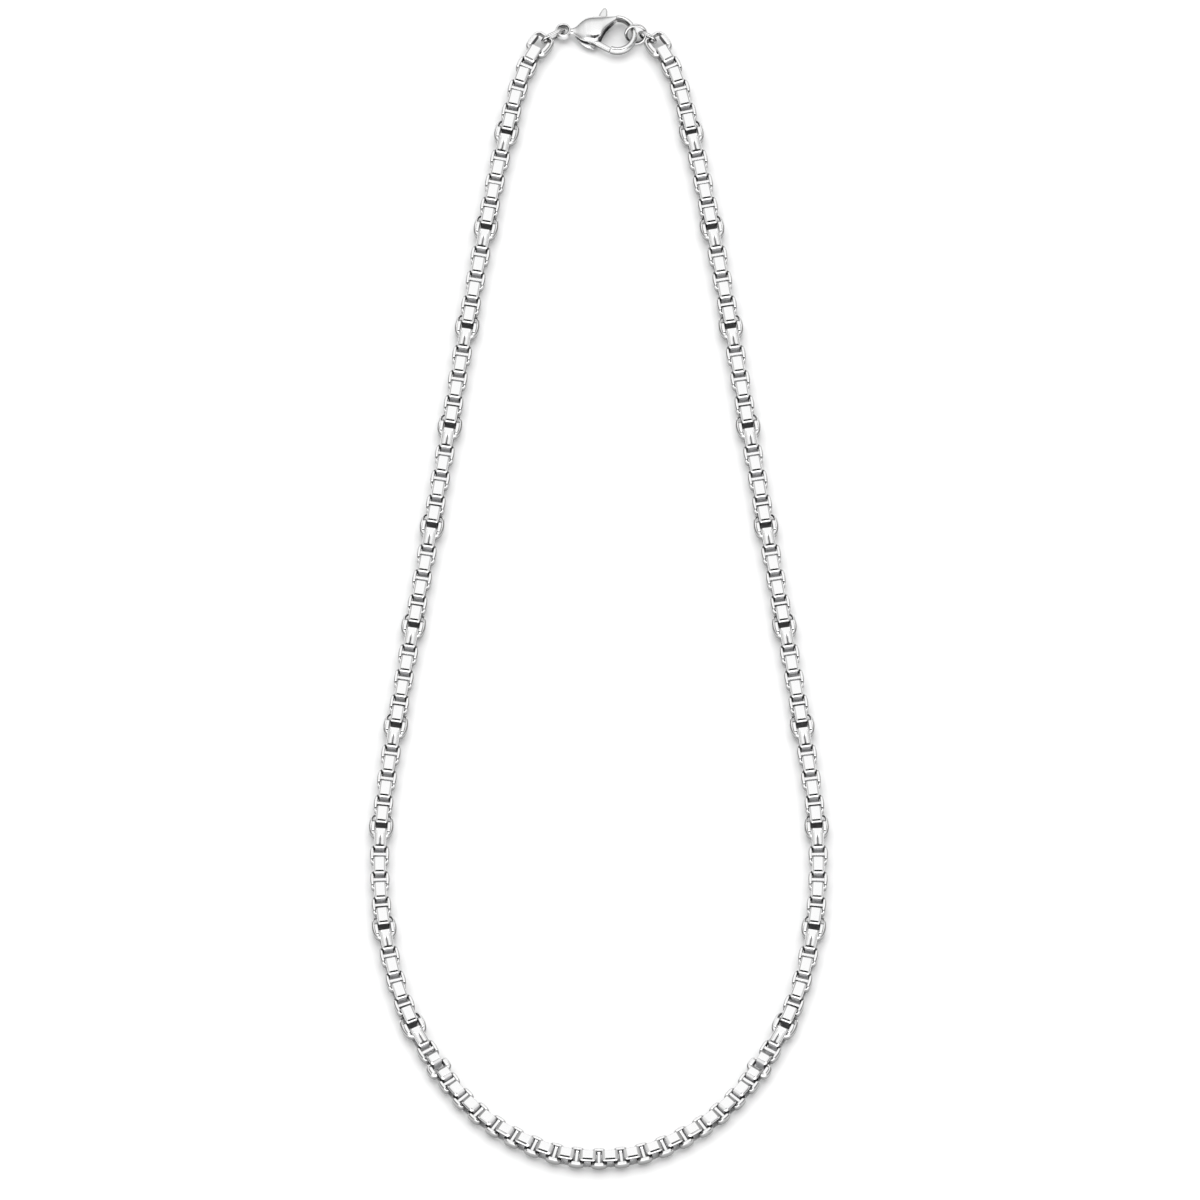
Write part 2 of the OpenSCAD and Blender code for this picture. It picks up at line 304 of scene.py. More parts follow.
def bend(spans, steps=2):
    """Way out, drop and tilt of a bend, from spans of length and of the tilt at their end."""
    out, tilt = [(0.0, 0.0, 0.0)], 0.0
    for length, end in spans:
        for s in range(steps):
            angle = math.radians(tilt + (end - tilt) * (s + 0.5) / steps)
            reach, drop, _ = out[-1]
            out.append((reach + length / steps * math.cos(angle),
                        drop + length / steps * math.sin(angle),
                        tilt + (end - tilt) * (s + 1) / steps))
        tilt = end
    return out


# Tones of the metal: painted shade, polished, brushed in the link's end walls, and near black painted shade
# in its hollows
SHADED = -1.0
POLISHED = 0.0
BRUSHED = 0.5
DARK = 1.0


# Face links

# A bend is spans of length and of the tilt at their end. The near one, which faces the front of the
# necklace, has two flats: a shallow one and a steeper lip.
NEAR_BEND = ((0.02, 20), (0.3, 29), (0.03, 44), (0.3, 54), (0.08, 90))
FAR_BEND = ((0.04, 30), (0.08, 60), (0.06, 90))
FRONT_END_BEND = ((0.05, 24), (0.5, 34), (0.07, 50), (0.14, 90))
SIDE_BEND = ((0.04, 24), (0.19, 33), (0.05, 46), (0.14, 58), (0.06, 90))
FOOT_BEND = ((0.2, 30), (0.2, 60), (0.2, 90))
SLIT_HALF_W = 0.06
NOTCH_HALF_W = 0.28
NOTCH_L = 0.34
SLIT_DEPTH = 0.3
CAP_L = 1.3
CAP_DROP = 0.03
BAR_ROUND = 0.13
SLIT_EXTRA_L = 0.65
SLIT_ROWS = 44
# Where the points of a bar lie between the slit (0) and the flat's edge (1)
BAR_SHARES = (0.96, 0.86, 0.74, 0.6, 0.45, 0.3, 0.16, 0.06, 0.0)
PINCH = 0.05
INNER_HALF_W = 0.6
FLOOR_TONE = 0.3
WALL_EDGE_W = 0.06
STEEP_TILT = 85


def face_outline(length, near, far, top_rows):
    """A face link's outer side, and where its flat top starts and stops.

    Each point is X and Z, the outward direction there, and the tilt from the flat in degrees.
    """
    half_l, half_h = length / 2, FACE_H / 2
    foot = bend(FOOT_BEND)
    out = []

    def corner(profile, x_sign, z_sign, backwards):
        reach = profile[-1][0]
        points = []
        for way, drop, tilt in profile:
            t = math.radians(tilt)
            points.append((x_sign * (half_l - reach + way), z_sign * (half_h - drop),
                           x_sign * math.sin(t), z_sign * math.cos(t), tilt))
        out.extend(points[::-1] if backwards else points)

    corner(far, 1, 1, False)
    corner(foot, 1, -1, True)
    corner(foot, -1, -1, False)
    corner(near, -1, 1, True)
    start, stop = near[-1][0] - half_l, half_l - far[-1][0]
    for x in np.linspace(start, stop, top_rows + 2)[1:-1]:
        out.append((x, half_h, 0.0, 1.0, 0.0))
    return out, start, stop


def strip_half(half_w, profile):
    """One side of a strip's section, from the flat out to the inner face, and the flat's half width."""
    flat = half_w - profile[-1][0]
    points = [(flat + way, -drop) for way, drop, _ in profile]
    foot = max(STRIP_T, profile[-1][1] + 0.03)
    points.append((half_w, -foot + 0.02))
    points.append((half_w - 0.05, -foot))
    return points, flat


def slit_row(x, start, stop, flat):
    """Across positions, depths and tones of the slit link's top: a half-moon cap, two bars and a slit
    painted near black as shade.
    """
    notch = np.clip(1 - (x - start) / NOTCH_L, 0, 1)
    point = stop - CAP_L
    into = ramp(point - x, -0.02, 0.12)
    half_w = SLIT_HALF_W + (NOTCH_HALF_W - SLIT_HALF_W) * notch ** 1.5
    row = []
    for share in BAR_SHARES:
        y = half_w + (flat - half_w) * share
        border = point + CAP_L * (y / flat) ** 2.4
        lower = CAP_DROP * ramp(border - x, 0, 0.2)
        round_off = BAR_ROUND * ((share - 0.5) / 0.5) ** 2 * ramp(border - x, 0, 0.7)
        row.append((y, -lower - round_off, POLISHED))
    row.append((half_w * 0.98, row[-1][1] - SLIT_DEPTH * into, DARK * into))
    row.append((half_w * 0.4, row[-1][1], row[-1][2]))
    return row


def face_link(length, near=NEAR_BEND, far=FAR_BEND, sides=(SIDE_BEND, SIDE_BEND), wall_tone=BRUSHED,
              slit=False):
    """A face link. Its sides are the bend on the -Y side and the one on the +Y side."""
    outline, start, stop = face_outline(length, bend(near), bend(far), SLIT_ROWS if slit else 1)
    left, left_flat = strip_half(FACE_W / 2, bend(sides[0]))
    right, right_flat = strip_half(FACE_W / 2, bend(sides[1]))
    rows, tones = [], []
    for x, z, nx, nz, tilt in outline:
        pinch = PINCH * math.sin(math.radians(2 * min(tilt, 90))) if z > 0 else 0.0
        top = slit_row(x, start, stop, right_flat) if slit and nz > 0.99 else None
        if slit and top is None:
            edge = start if x < 0 else stop
            top = [(y, 0.0, POLISHED) for y, _, _ in slit_row(edge, start, stop, right_flat)]
        if top is None:
            top = [(0.0, 0.0, POLISHED)]
        section = [(y, b, POLISHED) for y, b in right] + [(-y, b, POLISHED) for y, b in left[::-1]]
        section += [(-y, b, t) for y, b, t in top] + [(y, b, t) for y, b, t in top[::-1] if y > 0]
        row, tone_row = [], []
        for y, b, tone in section:
            # Painted shade: near black on the inner faces and round the end walls. The end walls take
            # wall_tone, and the inner floor near the sides is partly brushed grey.
            if b < -0.9 * STRIP_T and tone == POLISHED and abs(y) > INNER_HALF_W:
                tone = FLOOR_TONE if nz < -0.9 else DARK
            elif tilt > STEEP_TILT:
                on_wall = -left_flat - WALL_EDGE_W < y < right_flat + WALL_EDGE_W
                tone = wall_tone if on_wall else DARK
            row.append((x + b * nx, y * (1 - pinch), z + b * nz))
            tone_row.append(tone)
        rows.append(row)
        tones.append(tone_row)
    return [Grid(rows, tone=np.array(tones))]


# Frame links

RAIL_BEND = ((0.02, 12), (0.04, 38), (0.22, 52), (0.07, 90))
RIM_BEND = ((0.03, 12), (0.05, 36), (0.3, 50), (0.07, 90))
RAIL_INNER = 1.16
BAND_LIFT = 0.35
RIM_T = 0.5
TIP_DROP = 0.4
TIP_L = 0.75
BAND_FOOT_R = 0.12
RAIL_MIN_T = 0.32
RAIL_END_DROP = 0.35
RAIL_END_L = 0.5


def bowed_stations(length, width, bow, corner, steps=6):
    """Points round a bowed outline in X and Y, with their outward directions."""
    cx = length / 2 - corner
    cy = width / 2 - bow + math.sqrt((bow - corner) ** 2 - cx ** 2)
    lean = math.degrees(math.asin(cx / (bow - corner)))
    quarter = []
    for angle in np.linspace(0, 90 - lean, steps + 1):
        a = math.radians(angle)
        quarter.append((cx + corner * math.cos(a), cy + corner * math.sin(a), math.cos(a), math.sin(a)))
    for angle in np.linspace(90 - lean, 90, steps + 1)[1:]:
        a = math.radians(angle)
        quarter.append((bow * math.cos(a), width / 2 - bow + bow * math.sin(a), math.cos(a), math.sin(a)))
    half = quarter + [(-x, y, -nx, ny) for x, y, nx, ny in quarter[-2::-1]]
    return half + [(x, -y, nx, -ny) for x, y, nx, ny in half[::-1]]


def band_section(height, thick, profile, lower=0.0):
    """Section of a rail in depth and height: a bent outer side, a flat top and an upright inner side."""
    reach = profile[-1][0]
    top = height / 2 - lower
    low = -height / 2 + BAND_LIFT
    points = [(-BAND_FOOT_R * (1 - math.sin(t)), low + BAND_FOOT_R * (1 - math.cos(t)))
              for t in np.radians((0, 30, 60, 90))]
    points += [(way - reach, top - drop) for way, drop, _ in profile[::-1]]
    points += [(-thick + 0.06, top), (-thick + 0.015, top - 0.015), (-thick, top - 0.06),
               (-thick, low + 0.05), (-thick + 0.05, low)]
    return points


def flank_tone(b, z, height):
    """Painted shade on the outer side of a band, darker towards the table."""
    return SHADED * (0.42 + 0.5 * np.clip(0.4 - z / height, 0, 1)) if b > -0.1 else POLISHED


def band(stations, height, profile, thickness, lower, inner_tone=DARK):
    """A closed band on edge round an outline."""
    rows, tones = [], []
    for x, y, nx, ny in stations:
        thick = thickness(x, y, nx, ny)
        section = band_section(height, thick, profile, lower(x))
        rows.append([(x + b * nx, y + b * ny, z) for b, z in section])
        # Painted shade: near black on the inner side, and flank_tone's shade on the outer side
        tones.append([inner_tone if b < -0.98 * thick else flank_tone(b, z, height) for b, z in section])
    return Grid(rows, tone=np.array(tones))


def crossbar(half_reach, width, height, flare=0.14, flare_l=0.45, edge=0.12, steps=4):
    """A bar along Y, which widens and rises where it meets the rails."""
    rows, tones = [], []
    for y in np.linspace(-half_reach, half_reach, 19):
        into = max(abs(y) - (half_reach - flare_l), 0) / flare_l
        half_w = width / 2 + flare * into ** 2
        top = height / 2 + 0.1 * into ** 2
        section = np.concatenate([
            arc((half_w - edge, top - edge), (edge, edge), 0, 90, steps),
            arc((-half_w + edge, top - edge), (edge, edge), 90, 180, steps),
            arc((-half_w + edge, -height / 2 + edge), (edge, edge), 180, 270, steps),
            arc((half_w - edge, -height / 2 + edge), (edge, edge), 270, 360, steps)])
        rows.append([(x, y, z) for x, z in section])
        # Painted shade: near black below the bar's rounded top
        tones.append([DARK if z < top - 1.5 * edge else POLISHED for x, z in section])
    return Grid(np.array(rows)[::-1], closed_u=False, tone=np.array(tones)[::-1])


def frame_link(length):
    """A frame of two bowed rails and two end bars, with a crossbar."""
    def thickness(x, y, nx, ny):
        rail = max(abs(y) - RAIL_INNER, 0.3) / max(abs(ny), 0.5)
        return STRIP_T if abs(ny) < 0.8 else rail

    def lower(x):
        into = np.clip((abs(x) - length / 2 + TIP_L) / TIP_L, 0, 1)
        return TIP_DROP * into * into * (3 - 2 * into)

    stations = bowed_stations(length, FRAME_W, FRAME_BOW_R, FRAME_CORNER_R)
    ring = band(stations, FRAME_H, bend(RAIL_BEND), thickness, lower)
    return [ring, crossbar(RAIL_INNER + 0.12, BAR_W, FRAME_H - 2 * BAR_DROP)]


def inner_rail(x0, x1, side, outer_w, bow, height, middle=0.0):
    """A crescent rail, straight inside and bowed outside, whose ends sink into the rim."""
    rows, tones = [], []
    profile = bend(RAIL_BEND)
    for x in np.linspace(x0, x1, 18):
        outer = outer_w / 2 - bow + math.sqrt(bow ** 2 - (x - middle) ** 2)
        thick = max(outer - RAIL_INNER, RAIL_MIN_T)
        into = np.clip((abs(x - (x0 + x1) / 2) - (x1 - x0) / 2 + RAIL_END_L) / RAIL_END_L, 0, 1)
        section = band_section(height, thick, profile, RAIL_END_DROP * into ** 2)
        rows.append([(x, side * (outer + b), z) for b, z in section])
        # Painted shade: near black on the inner side
        tones.append([DARK if b < -0.98 * thick else POLISHED for b, z in section])
    if side > 0:
        rows, tones = rows[::-1], tones[::-1]
    return Grid(rows, closed_u=False, tone=np.array(tones))


# Right half of the large link's rim, from its near end to the tip that is hidden in the next face link
RIM_PATH = ((-1.75, 0.0), (-1.7, 0.75), (-1.45, 1.35), (-0.95, 1.82), (-0.3, 2.08), (0.45, 2.2), (1.2, 2.17),
            (1.9, 2.05), (2.5, 1.85), (2.95, 1.55), (3.1, 1.1), (3.1, 0.0))
RIM_TIP_X = 1.9
RIM_TIP_DROP = 1.0

# Where the inner rails of the large links start and stop, along the link from its middle
LARGE_RAIL = (-1.0, 1.55)
LARGE_RAIL_BOW_R = 3.4
LARGE_RAIL_MIDDLE = 0.35
END_RAIL = (-1.75, 1.2)
TURN_RAIL = (-1.0, 1.0)


def pointed_stations():
    """Points round the large link's rim in X and Y, with their outward directions."""
    before = (RIM_PATH[1][0], -RIM_PATH[1][1])
    after = (RIM_PATH[-2][0], -RIM_PATH[-2][1])
    half = smooth([before, *RIM_PATH, after], 3)
    path = np.concatenate([half[::-1], (half * (1, -1))[1:-1]])
    way = np.roll(path, -1, 0) - np.roll(path, 1, 0)
    way /= np.linalg.norm(way, axis=1, keepdims=True)
    return [(x, y, tx, ty) for (x, y), (ty, tx) in zip(path, way * (-1, 1))]


def rim(stations, thickness, lower, inner_tone=DARK):
    """The outer band of a large link."""
    return band(stations, RIM_H, bend(RIM_BEND), thickness, lower, inner_tone)


def wide_frame_link(length, rail):
    """A rim round two inner rails, as at the clasp and at the turn."""
    stations = bowed_stations(length, LARGE_W, LARGE_BOW_R, LARGE_CORNER_R)
    rails = [inner_rail(*rail, side, LARGE_W - 2 * STRIP_T, LARGE_BOW_R, FRAME_H) for side in (1, -1)]
    # Painted shade on the rim's inner side, lighter than the near black in the run's links
    return [rim(stations, lambda x, y, nx, ny: RIM_T, lambda x: 0.0, 0.7 * SHADED)] + rails


def large_link():
    """The large link between two face links: its rim runs out in two prongs that sink under the next one."""
    def tip(x):
        into = np.clip((x - RIM_TIP_X) / (RIM_PATH[-1][0] - RIM_TIP_X), 0, 1)
        return RIM_TIP_DROP * into * into

    def thickness(x, y, nx, ny):
        return RIM_T * (1 - 0.45 * np.clip((x - 0.8) / 2.0, 0, 1))

    rails = [inner_rail(*LARGE_RAIL, side, LARGE_W - 2 * STRIP_T, LARGE_RAIL_BOW_R, FRAME_H,
                        LARGE_RAIL_MIDDLE) for side in (1, -1)]
    return [rim(pointed_stations(), thickness, tip)] + rails


def turned(grids, middle, heading, mirrored, shift=(0, 0, 0)):
    """Grids at a place on the loop."""
    c, s = math.cos(heading), math.sin(heading)
    turn = np.array([[c, -s, 0], [s, c, 0], [0, 0, 1]])
    place = np.array([middle[0], middle[1] - CENTRE_Y, MID_Z]) + turn @ np.array(shift, float)
    if mirrored:
        flip = np.diag([-1.0, 1.0, 1.0])
        turn, place = flip @ turn, flip @ place
    return [grid.moved(turn, place) for grid in grids]


FRONT_FACE = face_link(FRONT_FACE_L, FRONT_END_BEND, FRONT_END_BEND, (NEAR_BEND, FAR_BEND))
TURN_FACE = face_link(TURN_FACE_L, FRONT_END_BEND, FRONT_END_BEND, (NEAR_BEND, FAR_BEND))
RUN_FACE = face_link(RUN_FACE_L)
# A run face link beside a large link, whose end walls are painted near black as shade
DARK_FACE = face_link(RUN_FACE_L, wall_tone=DARK)
SLIT_FACE = [grid.moved(np.eye(3), np.array([SLIT_EXTRA_L / 2, 0, 0]))
             for grid in face_link(RUN_FACE_L + SLIT_EXTRA_L, slit=True)]
FRONT_FRAME = frame_link(FRONT_FRAME_L)
RUN_FRAME = frame_link(RUN_FRAME_L)
END_LINK = wide_frame_link(LARGE_L, END_RAIL)
LARGE_LINK = large_link()
TURN_LINK = wide_frame_link(FRONT_FRAME_L, TURN_RAIL)


def face_kind(k):
    """The kind of face link k. It is slit before each large frame link but the last."""
    if k < FRONT_FACES:
        return FRONT_FACE
    if k < FIRST_RUN_FRAME:
        return TURN_FACE
    if is_large(k + 1) and k < HALF_FACES - 1:
        return SLIT_FACE
    return DARK_FACE if is_large(k) else RUN_FACE


def half_chain(mirrored):
    """Face links, frame links and large links of one half of the chain."""
    faces, frames, large = [], [], []
    for k in range(HALF_FACES):
        length = face_length(k)
        place = line.place(CHAIN_REACH[k] + (gap_at(k) + length) / 2, length / 2)
        faces += turned(face_kind(k), *place, mirrored)
    for j in range(1, HALF_FACES):
        length = frame_length(j)
        place = line.place(CHAIN_REACH[j], length / 2)
        if j == TURN_FRAME:
            large += turned(TURN_LINK, *place, mirrored)
        elif is_large(j):
            large += turned(LARGE_LINK, *place, mirrored)
        else:
            frames += turned(FRONT_FRAME if j < FIRST_RUN_FRAME else RUN_FRAME, *place, mirrored)
    large += turned(END_LINK, line.end, line.end_heading, mirrored, (LARGE_SHIFT, 0, 0))
    if mirrored:
        frames += turned(FRONT_FRAME, (0, 0), 0, False)
    return faces, frames, large


# Clasp

def loop(centre, across, half_w, half_h, low_power=2.3, high_power=2.3, steps=48):
    """A closed section: across runs in plan, and the two powers set how square each side is."""
    centre, across = np.asarray(centre, float), np.asarray(across, float)
    points = []
    for t in np.linspace(0, 2 * math.pi, steps, endpoint=False):
        c, s = math.cos(t), math.sin(t)
        power = high_power if c > 0 else low_power
        a = math.copysign(abs(c) ** (2 / power), c) * half_w
        b = math.copysign(abs(s) ** (2 / power), s) * half_h
        points.append((centre[0] + a * across[0], centre[1] + a * across[1], b))
    return points


def closed_end(row, way, steps=4):
    """Rows that round off the end of a sweep: the row shrinks to its centre as it goes along way."""
    row = np.asarray(row)
    centre = row.mean(axis=0)
    out = []
    for t in np.linspace(0, math.pi / 2, steps + 1)[1:]:
        out.append(centre + (row - centre) * max(math.cos(t), 0.001) + np.asarray(way) * math.sin(t))
    return out


# Stations of the body: a point on its back edge, one on its front edge, half the thickness, how square
# the front edge is, and how far the upper half's front edge stands back from the lower half's
BODY = (((1.0, 0.62), (1.0, -0.55), 0.6, 2.2, 0.0),
        ((1.7, 0.6), (1.75, -0.65), 0.6, 2.2, 0.0),
        ((2.25, 0.95), (2.3, -1.15), 0.75, 2.3, 0.1),
        ((3.0, 1.8), (3.2, -2.3), 1.12, 2.3, 0.5),
        ((3.85, 2.42), (4.0, -2.88), 1.42, 2.7, 0.75),
        ((4.9, 2.75), (4.95, -3.22), 1.6, 3.0, 0.9),
        ((5.8, 2.82), (5.5, -3.3), 1.65, 3.2, 0.9),
        ((6.5, 2.84), (6.1, -2.6), 1.64, 3.2, 0.35),
        ((7.1, 2.85), (6.62, -2.05), 1.56, 4, 0.15),
        ((7.6, 2.85), (7.0, -1.0), 1.44, 4, 0.0),
        ((8.1, 2.85), (7.5, -0.05), 1.3, 4, 0.0),
        ((8.7, 2.86), (8.2, 0.75), 1.12, 3.6, 0.0),
        ((9.2, 2.9), (8.9, 1.4), 0.98, 3, 0.0),
        ((9.6, 2.98), (9.45, 1.85), 0.88, 2.6, 0.0))
BACK_SQUARE = 2.5
SECTION_POINTS = 96

# The slot between the halves: half its height at the back, along the front and at the lever's mouth, how
# far in it reaches, and where it starts and stops along the body, each as the two ends of a soft step
SLOT_HALF_T = 0.7
SEAM_HALF_T = 0.28
MOUTH_HALF_T = 0.63
SLOT_REACH = 0.45
SLOT_FLOOR = 0.6
BACK_SLOT = ((3.6, 4.1), (7.5, 7.9))
FRONT_SLOT = ((2.0, 2.6), (8.2, 8.8))
MOUTH = (4.6, 6.1)
# Where the front wall of the hook's hollow is painted near black as shade
HOLLOW_WALL = ((5.9, 6.6), (9.0, 9.7))


def within(at, span):
    """1 inside a span with soft ends, and 0 outside it."""
    start, stop = span
    return ramp(at, *start) * (1 - ramp(at, *stop))


def into_slot(share, height, gap, half_t, power):
    """Share of the half width where a point below the slot's edge goes, and how far in from the edge."""
    cut = (1 - min(gap / half_t, 1) ** power) ** (1 / power)
    into = min((gap - height) / (gap + SLOT_FLOOR), 1)
    away = min(abs(share), cut * (1 - SLOT_REACH * into))
    return math.copysign(away, share), cut - away


def shell_tone(side, share, z, half_t, front_open, wall, shelf):
    """Tone of the body's skin, with painted shade: near black in the slot, along the lower half's front
    bottom edge and on the hollow's front wall. shelf is how dark the painted shade on a point in the slot
    is, or None outside it.
    """
    if shelf is not None:
        return DARK * shelf
    if side < 0 and share < -0.2 and front_open > 0.3:
        return DARK * ramp(-z, 0.45, 0.7)
    if side * z < 0.9 * half_t:
        return DARK * wall * ramp(-share, 0.76, 0.86)
    return POLISHED


def body_half(side):
    """The upper (1) or lower (-1) half of the body, with the lever's slot between them."""
    steps = 4
    backs = smooth([BODY[0][0]] + [b[0] for b in BODY] + [BODY[-1][0]], steps)
    fronts = smooth([BODY[0][1]] + [b[1] for b in BODY] + [BODY[-1][1]], steps)
    shares = np.arange(len(backs)) / steps
    thick = np.interp(shares, range(len(BODY)), [b[2] for b in BODY])
    powers = np.interp(shares, range(len(BODY)), [b[3] for b in BODY])
    insets = smooth([(n, b[4]) for n, b in zip([0] + list(range(len(BODY))) + [len(BODY)],
                                               BODY[:1] + BODY + BODY[-1:])], steps)[:, 1]
    rows, tones = [], []
    for back, front, half_t, power, inset in zip(backs, fronts, thick, powers, insets):
        across = (back - front) / np.linalg.norm(back - front)
        if side > 0:
            front = front + inset * across
        middle = (back + front) / 2
        half_w = np.linalg.norm(back - front) / 2
        back_gap = SLOT_HALF_T * within(middle[0], BACK_SLOT)
        front_open = within(middle[0], FRONT_SLOT)
        front_gap = front_open * (SEAM_HALF_T + (MOUTH_HALF_T - SEAM_HALF_T) * ramp(middle[0], *MOUTH))
        wall = within(middle[0], HOLLOW_WALL)
        row, tone_row = [], []
        for x, y, z in loop(middle, across, half_w, half_t, power, BACK_SQUARE, SECTION_POINTS):
            share = ((x - middle[0]) * across[0] + (y - middle[1]) * across[1]) / half_w
            gap = back_gap if share > 0 else front_gap
            shelf = None
            if side * z < gap and gap > 0:
                square = power if share < 0 else BACK_SQUARE
                inner, depth = into_slot(share, side * z, gap, half_t, square)
                x += (inner - share) * half_w * across[0]
                y += (inner - share) * half_w * across[1]
                # Painted shade in the slot, lighter on the lower half's front shelf
                if gap > 0.2:
                    lit = side < 0 and share < 0
                    shelf = ramp(depth * half_w, 0.5 * inset, 0.8 * inset + 0.02) if lit else 1.0
            row.append((x, y, side * max(side * z, gap)))
            tone_row.append(shell_tone(side, share, z, half_t, front_open, wall, shelf))
        rows.append(row)
        tones.append(tone_row)
    return Grid(rows, closed_u=False, tone=np.array(tones))


def hook():
    """The round arm from the body's end round to the lever's gate."""
    rows, tones = [], []
    for angle in np.linspace(HOOK_START, HOOK_STOP, 60):
        a = math.radians(angle)
        way = np.array([math.cos(a), math.sin(a)])
        slim = 0.03 * math.exp(-((angle - HOOK_START) / 1.6) ** 2)
        grow = ramp(-angle, -20, 80)
        rows.append(loop(HOOK_AT + (HOOK_RX, HOOK_RY) * way, way, HOOK_W / 2 - slim + 0.06 * grow,
                         HOOK_T / 2 - slim + 0.16 * grow))
        reach = math.dist(HOOK_AT + (HOOK_RX, HOOK_RY) * way, HOOK_AT)
        # Painted shade on the arm's inner side and on its lower half
        inner = np.array([ramp(-math.dist(p[:2], HOOK_AT) / reach, -0.97, -0.9) for p in rows[-1]])
        lower = np.array([ramp(-p[2], -0.36 * HOOK_T, 0.05 * HOOK_T) for p in rows[-1]])
        tones.append(SHADED * np.maximum(inner * (0.4 + 0.5 * ramp(angle, -10, 40)), 0.8 * lower))
    a = math.radians(HOOK_STOP)
    way = np.array([math.sin(a), -math.cos(a), 0]) * 0.16
    ends = closed_end(rows[-1], way)
    return Grid(np.array(rows + ends), closed_u=False, tone=np.array(tones + [tones[-1]] * len(ends)))


def torus(radius, half_w, half_h, turns=72, steps=28):
    """A ring about Z, with an oval section."""
    rows = []
    around = np.linspace(0, 2 * math.pi, steps, endpoint=False)
    for t in np.linspace(0, 2 * math.pi, turns, endpoint=False):
        way = (math.cos(t), math.sin(t))
        rows.append([((radius + half_w * math.cos(s)) * way[0], (radius + half_w * math.cos(s)) * way[1],
                      half_h * math.sin(s)) for s in around])
    # Painted shade on the wire's inner and lower side
    return Grid(rows, tone=RING_SHADE * SHADED * ramp(-np.cos(around) - 1.5 * np.sin(around), -0.5, 0.9))


def gate():
    """The lever's bar from the boss to the hook's tip."""
    a = math.radians(GATE_ANGLE)
    way = np.array([math.cos(a), math.sin(a)])
    across = np.array([-way[1], way[0]])
    rows = []
    for reach in np.linspace(0.2, GATE_REACH - 0.12, 20):
        middle = PIN_AT + way * reach - across * (0.1 + 0.04 * math.sin(reach / GATE_REACH * math.pi))
        half_w = GATE_W / 2 * (1.3 - 0.2 * reach / GATE_REACH)
        rows.append(loop(middle, across, half_w, LEVER_T / 2, 3.5, 3.5))
    ends = closed_end(rows[-1], (*way * 0.12, 0))
    # Painted shade on the bar's lower part
    tones = [SHADED * 0.75 * ramp(-np.array(row)[:, 2], -0.42 * LEVER_T, -0.1) for row in rows + ends]
    return Grid(np.array(rows + ends)[::-1], closed_u=False, tone=np.array(tones)[::-1])


# Stations of the trigger from the boss to its tip: left and right edges from the pin, half thickness
TRIGGER = (((-0.5, 0.3), (0.55, -0.1), 0.56),
           ((0.3, 1.9), (1.5, 1.45), 0.58),
           ((0.95, 3.3), (2.5, 2.8), 0.6),
           ((1.28, 4.2), (3.0, 4.1), 0.58),
           ((1.6, 5.0), (3.06, 4.95), 0.52),
           ((1.92, 5.55), (3.02, 5.6), 0.46),
           ((2.2, 5.88), (2.82, 5.92), 0.4))


def trigger():
    """The thumb piece of the lever, which stands out of the body's back."""
    lefts = smooth([TRIGGER[0][0]] + [t[0] for t in TRIGGER] + [TRIGGER[-1][0]], 4)
    rights = smooth([TRIGGER[0][1]] + [t[1] for t in TRIGGER] + [TRIGGER[-1][1]], 4)
    thick = np.interp(np.arange(len(lefts)) / 4, range(len(TRIGGER)), [t[2] for t in TRIGGER])
    rows = []
    for left, right, half_t in zip(lefts, rights, thick):
        across = right - left
        half_w = np.linalg.norm(across) / 2
        rows.append(loop(PIN_AT + (left + right) / 2, across / (2 * half_w), half_w, half_t, 2.8, 2.8))
    rows += closed_end(rows[-1], (0.05, 0.2, 0))
    return Grid(np.array(rows), closed_u=False)


def boss():
    """The round end of the lever on its pin."""
    rows = []
    for radius, z in ((0.001, 0.6), (0.7, 0.6), (0.8, 0.57), (BOSS_R, 0.5), (BOSS_R, -0.5), (0.8, -0.57),
                      (0.7, -0.6), (0.001, -0.6)):
        rows.append([(PIN_AT[0] + radius * math.cos(t), PIN_AT[1] + radius * math.sin(t), z)
                     for t in np.linspace(0, 2 * math.pi, 40, endpoint=False)])
    return Grid(np.array(rows)[::-1], closed_u=False)


def oval_ring(length):
    """An upright oval ring of round wire along X."""
    straight = (length - 2 * UPRIGHT_R - WIRE_D) / 2
    path = []
    for start, x in ((-90, straight), (90, -straight)):
        for angle in np.linspace(start, start + 180, 28):
            t = math.radians(angle)
            path.append((x + UPRIGHT_R * math.cos(t), UPRIGHT_R * math.sin(t), math.cos(t), math.sin(t)))
    around = np.linspace(0, 2 * math.pi, 24, endpoint=False)
    rows = [[(x + WIRE_D / 2 * math.cos(s) * nx, WIRE_D / 2 * math.sin(s), z + WIRE_D / 2 * math.cos(s) * nz)
             for s in around] for x, z, nx, nz in path]
    # Painted shade on the wire's inner side
    return Grid(np.array(rows)[::-1], tone=RING_SHADE * SHADED * ramp(-np.cos(around), -0.2, 0.8))


def at_clasp(grids):
    """Grids moved from the eye's centre to the clasp's place."""
    place = np.array([CLASP_AT[0], CLASP_AT[1] - CENTRE_Y, MID_Z])
    return [grid.moved(np.eye(3), place) for grid in grids]


# Materials

SMEAR_SCALE = 900
GRAIN_SCALE = 5200
HAIRLINE_SCALE = 4000
HAIRLINE_DEPTH = 0.00001
WEAR = 0.5
# Share of the polished colour left under full painted shade
SHADED_SHARE = 0.12
BRUSHED_ROUGHNESS = 0.42
BRUSHED_DARK = (0.55, 0.55, 0.56, 1)
BRUSHED_LIGHT = (0.9, 0.9, 0.91, 1)
# Near black of the painted shade in the hollows
HOLLOW = (0.03, 0.03, 0.032, 1)


